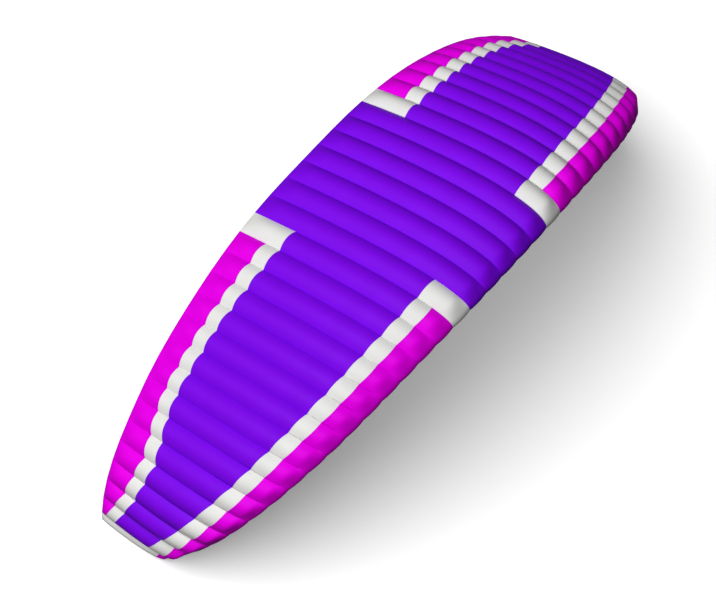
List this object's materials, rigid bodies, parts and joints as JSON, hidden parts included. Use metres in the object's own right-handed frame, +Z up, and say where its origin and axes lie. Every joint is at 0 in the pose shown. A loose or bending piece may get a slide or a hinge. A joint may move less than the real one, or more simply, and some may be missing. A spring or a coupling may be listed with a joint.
{
  "type": "paraglider wing",
  "caption": "Ram-air paraglider wing: an arched, puffed canopy of sewn cells with mouths at the nose, standing on its two tips.",
  "frame": {"origin": "middle of the bounding box's plan, on the surface that the two tips stand on", "axes": "+X to the wing's right-hand tip seen from in front of its nose with the nose towards -Y, +Y from nose to tail, +Z up"},
  "size_m": [8.6538, 2.8874, 3.4434],
  "materials": {
    "ripstop_purple": "coated ripstop nylon, satin, with magenta nose and tail bands and white stripes between",
    "ripstop_white": "coated ripstop nylon, satin",
    "ripstop_underside": "coated ripstop nylon, satin"
  },
  "bodies": {
    "root": {"cell_left_19": "ripstop_white", "cell_left_18": "ripstop_purple", "cell_left_17": "ripstop_purple", "cell_left_16": "ripstop_purple", "cell_left_15": "ripstop_purple", "cell_left_14": "ripstop_purple", "cell_left_13": "ripstop_purple", "cell_left_12": "ripstop_purple", "cell_left_11": "ripstop_purple", "cell_left_10": "ripstop_purple", "cell_left_09": "ripstop_purple", "cell_left_08": "ripstop_purple", "cell_left_07": "ripstop_purple", "cell_left_06": "ripstop_purple", "cell_left_05": "ripstop_purple", "cell_left_04": "ripstop_purple", "cell_left_03": "ripstop_purple", "cell_left_02": "ripstop_purple", "cell_left_01": "ripstop_purple", "cell_centre": "ripstop_purple", "cell_right_01": "ripstop_purple", "cell_right_02": "ripstop_purple", "cell_right_03": "ripstop_purple", "cell_right_04": "ripstop_purple", "cell_right_05": "ripstop_purple", "cell_right_06": "ripstop_purple", "cell_right_07": "ripstop_purple", "cell_right_08": "ripstop_purple", "cell_right_09": "ripstop_purple", "cell_right_10": "ripstop_purple", "cell_right_11": "ripstop_purple", "cell_right_12": "ripstop_purple", "cell_right_13": "ripstop_purple", "cell_right_14": "ripstop_purple", "cell_right_15": "ripstop_purple", "cell_right_16": "ripstop_purple", "cell_right_17": "ripstop_purple", "cell_right_18": "ripstop_purple", "cell_right_19": "ripstop_white", "under_skin_01": "ripstop_underside", "under_skin_02": "ripstop_underside", "under_skin_03": "ripstop_underside", "under_skin_04": "ripstop_underside", "under_skin_05": "ripstop_underside", "under_skin_06": "ripstop_underside", "under_skin_07": "ripstop_underside", "under_skin_08": "ripstop_underside", "under_skin_09": "ripstop_underside", "under_skin_10": "ripstop_underside", "under_skin_11": "ripstop_underside", "under_skin_12": "ripstop_underside", "under_skin_13": "ripstop_underside"}
  },
  "joints": []
}
